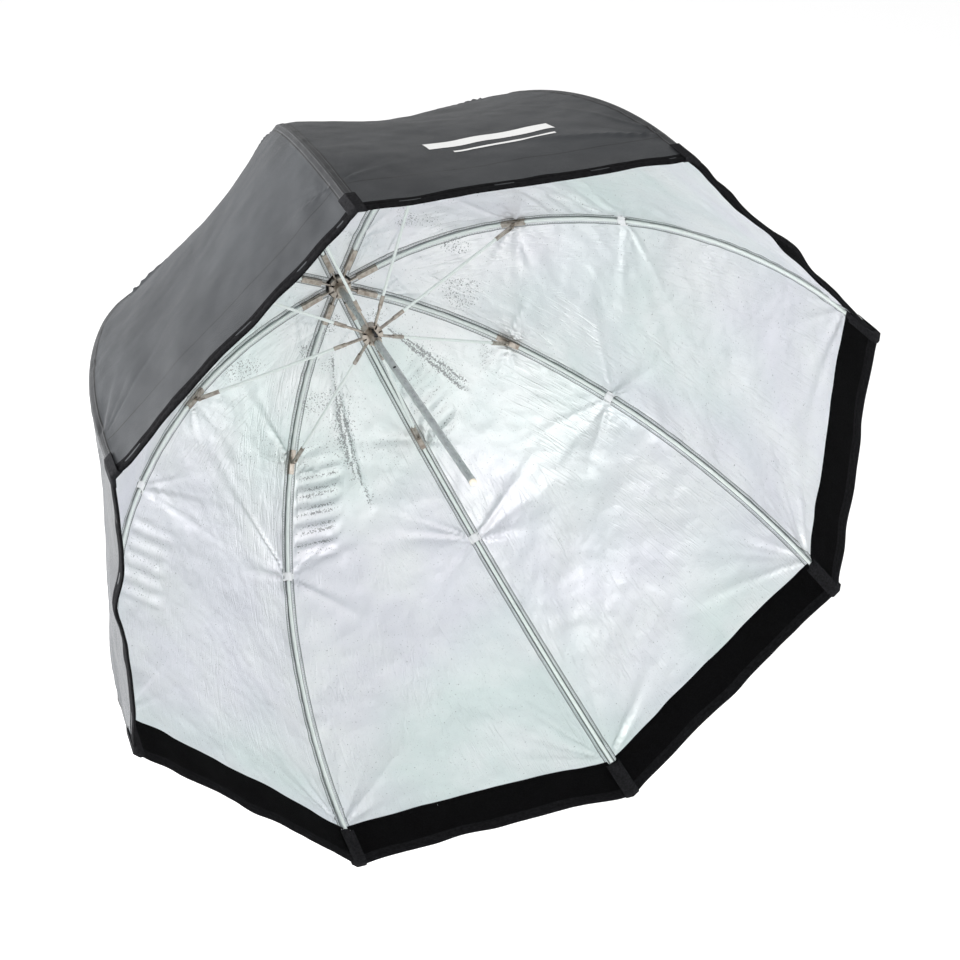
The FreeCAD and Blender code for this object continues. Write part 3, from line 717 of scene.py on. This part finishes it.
def lining_material():
    """Silver coated cloth: crumpled foil with faint cool tints, painted shade and painted reflection as dark
    grain in its folds and near the hub, and the rods' painted shadow beside the ribs.
    """
    nodes = Nodes("silver_lining", (0.84, 0.86, 0.87), 0.36, 0.62)
    nodes.shader.inputs["Specular IOR Level"].default_value = 0.6
    split = nodes.weave(0.0006, 0.00012, 0.4)
    # painted shade and painted reflection of the folds, read from the second UV map
    painted_shade_map = nodes.add("ShaderNodeUVMap", uv_map="crushed")
    painted_shade_split = nodes.add("ShaderNodeSeparateXYZ")
    nodes.link(painted_shade_map.outputs["UV"], painted_shade_split.inputs["Vector"])
    painted_shade = painted_shade_split.outputs["X"]
    nodes.relief(nodes.crumple(26.0), 0.0032, 0.30)
    nodes.relief(nodes.crumple(70.0), 0.0014, 0.30)
    nodes.relief(nodes.wrinkles(24.0, 9.0, 8.0), 0.0009, 0.40)
    nodes.relief(nodes.wrinkles(-35.0, 10.0, 9.0), 0.0008, 0.40)
    nodes.relief(nodes.wrinkles(75.0, 12.0, 7.0), 0.0007, 0.35)
    nodes.relief(nodes.noise(420.0, 4.0), 0.0004, 0.35)
    beside = nodes.maths("ABSOLUTE", split.outputs["X"])
    seam = nodes.maths("SUBTRACT", 1.0, nodes.ramp(beside, 0.0060, 0.0066))
    marks = nodes.stitches(split, (0.0054,), 0.0030, 0.0005, 0.0004)
    # a dark line at each seam's edge, and a dark line 3 mm beside the rib that is the rod's painted shadow on
    # the lining
    seam_lines_and_rod_shadow = nodes.maths("MAXIMUM", nodes.line(beside, SEAM, 0.0013), nodes.line(beside, 0.0030, 0.0015))
    mint_lavender = nodes.blend(nodes.ramp(nodes.noise(3.2, 2.0), 0.42, 0.58), (0.772, 0.850, 0.833),
                                (0.832, 0.832, 0.880))
    tinted = nodes.blend(nodes.ramp(nodes.noise(11.0, 6.0), 0.40, 0.75), mint_lavender, (0.92, 0.935, 0.935))
    # the painted shade and reflection push the grain noise into dark specks
    grain = nodes.maths("ADD", nodes.noise(560.0, 3.0), nodes.maths("MULTIPLY", painted_shade, 0.29))
    specks_and_painted_shade = nodes.ramp(grain, 0.67, 0.73)
    speckled_and_shaded = nodes.blend(nodes.maths("MULTIPLY", specks_and_painted_shade, 0.75), tinted, (0.20, 0.21, 0.21))
    fine = nodes.maths("MULTIPLY", nodes.ramp(nodes.noise(900.0, 2.0), 0.55, 0.75), 0.09)
    grained = nodes.blend(fine, speckled_and_shaded, (0.35, 0.37, 0.38))
    seamed = nodes.blend(nodes.maths("MULTIPLY", seam, 0.35), grained, (0.56, 0.58, 0.60))
    lined = nodes.blend(nodes.maths("MULTIPLY", seam_lines_and_rod_shadow, 0.80), seamed, (0.06, 0.08, 0.07))
    nodes.colour(nodes.blend(nodes.maths("MULTIPLY", marks, 0.6), lined, (0.22, 0.23, 0.24)))
    nodes.rough(nodes.noise(60.0, 4.0), 0.24, 0.46)
    return nodes.material


def tape_material(name, colour, pile):
    """Black loop tape or webbing."""
    nodes = Nodes(name, colour, 0.92)
    nodes.shader.inputs["Specular IOR Level"].default_value = 0.03
    nodes.relief(nodes.noise(pile, 3.0), 0.0006, 0.8)
    nodes.weave(0.0009, 0.0003, 0.7)
    light = tuple(min(1.0, 1.9 * value + 0.0010) for value in colour)
    nodes.colour(nodes.blend(nodes.ramp(nodes.noise(pile * 0.6, 4.0), 0.35, 0.75), colour, light))
    return nodes.material


def tie_material():
    """White woven tape with stitched edges."""
    nodes = Nodes("white_tie_cloth", (0.86, 0.87, 0.88), 0.7)
    split = nodes.weave(0.0005, 0.00015, 0.8)
    nodes.stitches(split, (0.0042,), 0.0022, 0.0004, 0.0004)
    nodes.colour(nodes.blend(nodes.noise(120.0, 3.0), (0.80, 0.82, 0.83), (0.93, 0.93, 0.94)))
    return nodes.material


def fibreglass_material():
    """White pultruded rod with fine long fibres."""
    nodes = Nodes("white_fibreglass", (0.86, 0.89, 0.87), 0.32)
    nodes.shader.inputs["Coat Weight"].default_value = 0.35
    nodes.shader.inputs["Coat Roughness"].default_value = 0.18
    fibres = nodes.noise(420.0, 3.0, stretch=(1.0, 0.08, 1.0))
    nodes.relief(fibres, 0.00012, 0.4)
    nodes.colour(nodes.blend(fibres, (0.72, 0.80, 0.76), (0.88, 0.92, 0.90)))
    nodes.rough(nodes.noise(200.0, 2.0), 0.26, 0.42)
    return nodes.material


def metal_material(name, colour, roughness, brush, patina):
    """Plated or drawn steel with fine brushing and slight tarnish."""
    nodes = Nodes(name, colour, roughness, 1.0)
    grain = nodes.noise(brush, 4.0, stretch=(1.0, 0.15, 1.0))
    nodes.relief(grain, 0.00010, 0.35)
    nodes.colour(nodes.blend(nodes.ramp(nodes.noise(180.0, 5.0), 0.42, 0.78), colour, patina))
    nodes.rough(grain, roughness * 0.75, min(1.0, roughness * 1.5))
    return nodes.material


def plastic_material(name, colour, roughness):
    """Moulded plastic with a fine grain."""
    nodes = Nodes(name, colour, roughness)
    nodes.relief(nodes.noise(1400.0, 2.0), 0.00006, 0.5)
    light = tuple(min(1.0, value * 1.25 + 0.003) for value in colour)
    nodes.colour(nodes.blend(nodes.noise(90.0, 4.0), colour, light))
    nodes.rough(nodes.noise(500.0, 3.0), roughness * 0.85, roughness * 1.15)
    return nodes.material


# ---------------------------------------------------------------- pieces

def make_canopy():
    """The shell and the lining, each cut at the ribs' bending point into a crown and sides."""
    crown = np.linspace(CROWN_START, FLEX, CROWN_ROWS)
    side = np.linspace(FLEX, RIM, SIDE_ROWS)
    whole = np.concatenate([crown, side[1:]])
    for prefix, offset, step, material, outward in (("shell", SHELL, SEAM_STEP, shell_material(), True),
                                                    ("lining", LINING, -SEAM_STEP, lining_material(), False)):
        layer = ring_layer(whole, np.full(len(whole), offset), step, outward)
        if not outward:
            flat = layer.reshape(-1, 3)
            away = flat / np.linalg.norm(flat, axis=1, keepdims=True)
            crinkle = 0.00030 * field(flat, 190.0, 1.9) + 0.00045 * field(flat, 88.0, 6.1)
            layer = (flat + crinkle[:, None] * away).reshape(layer.shape)
        crowns = panel_pieces("crown_" + prefix, layer[:CROWN_ROWS], crown, material, "rib",
                              outward)
        if outward:
            tail = np.linspace(FLEX - 0.001, FLEX + 0.020, 10)
            under = ring_layer(tail, np.full(len(tail), TUCK), 0.0, True)
            tucks = panel_pieces("crown_tuck", under, tail, material, "rib", outward)
            declare_sheets(tail)
        sides = panel_pieces("side_" + prefix, layer[CROWN_ROWS - 1:], side, material, "rib_tip",
                             outward)
        declare_sheets(crown)
        declare_sheets(side)
        for index in range(RIBS):
            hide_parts("crown_panel_%d" % (index + 1))
            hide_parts("side_panel_%d" % (index + 1))


def make_rim():
    """The loop tape inside the mouth and the binding round its edge."""
    tape_cloth = tape_material("black_loop_tape", (0.0022, 0.0022, 0.0024), 900.0)
    binding_cloth = tape_material("black_binding", (0.0060, 0.0060, 0.0066), 500.0)
    inner_edge = RIM - TAPE_WIDTH
    stations = np.concatenate([[inner_edge, inner_edge + 0.0006], np.linspace(inner_edge + 0.004, RIM, 12)])
    offsets = np.concatenate([[LINING, TAPE], np.full(12, TAPE)])
    tapes = panel_pieces("rim_tape", ring_layer(stations, offsets), stations, tape_cloth, "rib_tip",
                         False)
    declare_sheets(stations[1:])
    profile = ((-0.0090, TAPE), (-0.0086, TAPE - 0.0006), (-0.0050, TAPE - 0.0009),
               (-0.0046, TAPE - 0.0003), (-0.0030, TAPE - 0.0004), (0.0005, TAPE - 0.0009),
               (0.0024, TAPE - 0.0002), (0.0032, 0.0034), (0.0024, SHELL), (0.0005, SHELL + 0.0008),
               (-0.0030, SHELL + 0.0003), (-0.0046, SHELL + 0.0003), (-0.0050, SHELL + 0.0008),
               (-0.0086, SHELL + 0.0006), (-0.0090, SHELL))
    stations = np.array([RIM + along for along, offset in profile])
    offsets = np.array([offset for along, offset in profile])
    panel_pieces("rim_binding", ring_layer(stations, offsets), stations, binding_cloth, "rib_tip",
                 False)


def make_rods():
    """The eight rib rods. Returns their material."""
    fibreglass = fibreglass_material()
    for index in range(RIBS):
        rib_rod(index, fibreglass)
    return fibreglass


def make_webbing():
    """A tab over each corner of the mouth and a tie over each rib."""
    tab_cloth = tape_material("black_webbing", (0.011, 0.011, 0.012), 700.0)
    tie_cloth = tie_material()
    for index in range(RIBS):
        rows = []
        for station in np.linspace(ROD_END - 0.003, RIM - 0.002, 18):
            lift = 1.0 - float(smooth(station, ROD_END + 0.001, ROD_END + 0.010))
            rows.append((station, lift, TAPE - 0.0012))
        rows.append((RIM + 0.0026, 0.0, TAPE - 0.0008))
        rows.append((RIM + 0.0038, 0.0, 0.5 * (TAPE + SHELL)))
        rows.append((RIM + 0.0026, 0.0, SHELL + 0.0018))
        for station in np.linspace(RIM - 0.003, RIM - 0.028, 6):
            rows.append((station, 0.0, SHELL + 0.0018))
        tab = webbing("corner_tab_%d" % (index + 1), index, rows, TAB_HALF, TAB_THICKNESS, tab_cloth)
        carry_cloth(tab, "rib_tip", index)
        stations = np.linspace(TIE - 0.5 * TIE_LENGTH, TIE + 0.5 * TIE_LENGTH, 7)
        rows = [(station, 1.0, LINING - 0.0007) for station in stations]
        tie = webbing("rib_tie_%d" % (index + 1), index, rows, TIE_HALF, TIE_THICKNESS, tie_cloth)
        carry_cloth(tie, "rib_tip", index)


def islands(mesh):
    """Connected groups of a mesh's faces."""
    owner = list(range(len(mesh.vertices)))

    def root(vertex):
        while owner[vertex] != vertex:
            owner[vertex] = owner[owner[vertex]]
            vertex = owner[vertex]
        return vertex

    for polygon in mesh.polygons:
        first = root(polygon.vertices[0])
        for vertex in polygon.vertices[1:]:
            owner[root(vertex)] = first
    groups = {}
    for polygon in mesh.polygons:
        groups.setdefault(root(polygon.vertices[0]), []).append(polygon)
    return list(groups.values())


def copy_faces(name, mesh, polygons, material):
    """A new piece with the shape of some faces of a CAD node."""
    number = {}
    points = []
    faces = []
    for polygon in polygons:
        face = []
        for vertex in polygon.vertices:
            if vertex not in number:
                number[vertex] = len(points)
                points.append(tuple(mesh.vertices[vertex].co))
            face.append(number[vertex])
        faces.append(face)
    piece = new_piece(name, points, faces, material)
    bevel = piece.modifiers.new("bevel", "BEVEL")
    bevel.width = BEVEL
    bevel.segments = 2
    bevel.limit_method = "ANGLE"
    piece.modifiers.new("shade", "WEIGHTED_NORMAL")
    return piece


def make_stretchers(fibreglass, nickel):
    """Each stretcher's rod, which is its longest solid, and its two crimped, plated ends."""
    for index in range(1, RIBS + 1):
        node = "stretcher_%d" % index
        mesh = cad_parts[node].data
        parts = {"rod": [], "ends": []}
        groups = islands(mesh)
        sizes = []
        for group in groups:
            corners = {vertex for polygon in group for vertex in polygon.vertices}
            places = np.array([mesh.vertices[corner].co for corner in sorted(corners)])
            sizes.append(float(np.linalg.norm(places.max(axis=0) - places.min(axis=0))))
        for group, size in zip(groups, sizes):
            parts["rod" if size == max(sizes) else "ends"].extend(group)
        for part, material, finish in (("rod", fibreglass, "glassfibre"), ("ends", nickel, "nickel")):
            piece = copy_faces("stretcher_%s_%d" % (part, index), mesh, parts[part], material)
            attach(piece, "stretcher_arm_%d" % index)
            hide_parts(node)


def make_shaft_button(material):
    """The flush head of the pin that stops the runner's travel."""
    facing = Vector((-0.42, 0.0, 0.907))
    along = Vector((0.0, 1.0, 0.0))
    side = along.cross(facing)
    centre = Vector((0.0, MOUNT_DEPTH - STOP_PIN, 0.0))
    turns = np.linspace(0.0, 2.0 * math.pi, 20, endpoint=False)
    sections = []
    for radius, height in ((0.0018, 0.00340), (0.0018, 0.00395), (0.0014, 0.00425), (0.0008, 0.00440),
                           (0.0002, 0.00442)):
        middle = centre + height * facing
        sections.append([middle + radius * (math.cos(turn) * side + math.sin(turn) * along)
                         for turn in turns])
    button = swept("shaft_button", sections, material)
    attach(button, "shaft_frame")


def print_bar(name, near, far, start, end, index, material):
    """Part of a printed bar on the top gore, between two stations and two shares of the width."""
    rows = np.linspace(near, far, 9)
    columns = np.linspace(start, end, 41)
    u = np.tile(columns, len(rows))
    points = cloth_points(0, u, np.repeat(rows, len(columns)), np.full(len(u), PRINT), True)
    bar = new_piece(name, points, grid_faces(len(rows), len(columns), flip=True), material)
    carry_cloth(bar, "rib_tip", index)


def make_stripes():
    """Two plain printed bars on the top gore, each cut in the middle, where two panels meet."""
    nodes = Nodes("white_print", (0.80, 0.80, 0.79), 0.6)
    nodes.relief(nodes.noise(900.0, 3.0), 0.0001, 0.5)
    nodes.colour(nodes.blend(nodes.noise(500.0, 4.0), (0.72, 0.72, 0.71), (0.86, 0.86, 0.85)))
    for name, near, far, left, right in BARS:
        print_bar(name + "_a", near, far, left, 0.5, 0, nodes.material)
        print_bar(name + "_b", near, far, 0.5, right, 1, nodes.material)


def paint_nodes():
    """Materials of all the CAD nodes. Returns the plated and the black one."""
    steel = metal_material("drawn_steel", (0.50, 0.53, 0.52), 0.26, 500.0, (0.36, 0.38, 0.38))
    nickel = metal_material("nickel_plate", (0.46, 0.42, 0.37), 0.30, 700.0, (0.20, 0.165, 0.135))
    cream = plastic_material("cream_plastic", (0.80, 0.72, 0.60), 0.45)
    black = plastic_material("black_plastic", (0.020, 0.020, 0.021), 0.42)
    names = {"shaft": steel, "shaft_tip_cap": cream, "notch": nickel, "notch_wire": steel,
             "rear_cap": black, "runner": nickel, "runner_wire": steel, "runner_catch": black}
    for name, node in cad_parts.items():
        node.data.materials.clear()
        node.data.materials.append(names.get(name, nickel))
    return nickel, black


# ---------------------------------------------------------------- stage, light and camera

def make_stage():
    """Floor, even white surroundings and three lamps."""
    floor_material = bpy.data.materials.new("pale_floor")
    floor_material.use_nodes = True
    shader = floor_material.node_tree.nodes["Principled BSDF"]
    shader.inputs["Base Color"].default_value = (0.90, 0.90, 0.90, 1.0)
    shader.inputs["Roughness"].default_value = 0.9
    low = cad_box[0][2] - FLOOR_DROP
    corners = [(-FLOOR_HALF, -FLOOR_HALF, low), (FLOOR_HALF, -FLOOR_HALF, low),
               (FLOOR_HALF, FLOOR_HALF, low), (-FLOOR_HALF, FLOOR_HALF, low)]
    floor = new_piece("floor", corners, [(0, 1, 2, 3)], floor_material, False)
    world = bpy.data.worlds.new("studio")
    world.use_nodes = True
    world.node_tree.nodes["Background"].inputs["Color"].default_value = (1.0, 1.0, 1.0, 1.0)
    world.node_tree.nodes["Background"].inputs["Strength"].default_value = 1.0
    bpy.context.scene.world = world
    bpy.context.scene.view_settings.view_transform = "Standard"
    for name, place, power, size in LAMPS:
        lamp = bpy.data.lights.new(name, "AREA")
        lamp.energy = power
        lamp.size = size
        holder = bpy.data.objects.new(name, lamp)
        holder.location = place
        aim = Vector((0.0, 0.05, 0.0)) - Vector(place)
        holder.rotation_euler = aim.to_track_quat("-Z", "Y").to_euler()
        bpy.context.scene.collection.objects.link(holder)


def make_camera():
    """The camera stands in front of the mouth, to the left and above, and rolls a little."""
    azimuth = math.radians(-22.88)
    elevation = math.radians(34.41)
    roll = math.radians(2.12)
    distance = 2.019
    aim = Vector((-0.0176, -0.1651, 0.0449))
    back = Vector((math.sin(azimuth) * math.cos(elevation), -math.cos(azimuth) * math.cos(elevation),
                   math.sin(elevation)))
    data = bpy.data.cameras.new("camera")
    data.lens = 80.3
    data.sensor_width = 36.0
    data.clip_end = 50.0
    camera = bpy.data.objects.new("camera", data)
    turned = back.to_track_quat("Z", "Y").to_matrix().to_4x4() @ Matrix.Rotation(roll, 4, "Z")
    camera.matrix_world = Matrix.Translation(aim + distance * back) @ turned
    bpy.context.scene.collection.objects.link(camera)
    bpy.context.scene.camera = camera


make_stage()
make_camera()
make_canopy()
make_rim()
make_webbing()
nickel_plate, black_plastic = paint_nodes()
make_stretchers(make_rods(), nickel_plate)
make_shaft_button(black_plastic)
make_stripes()
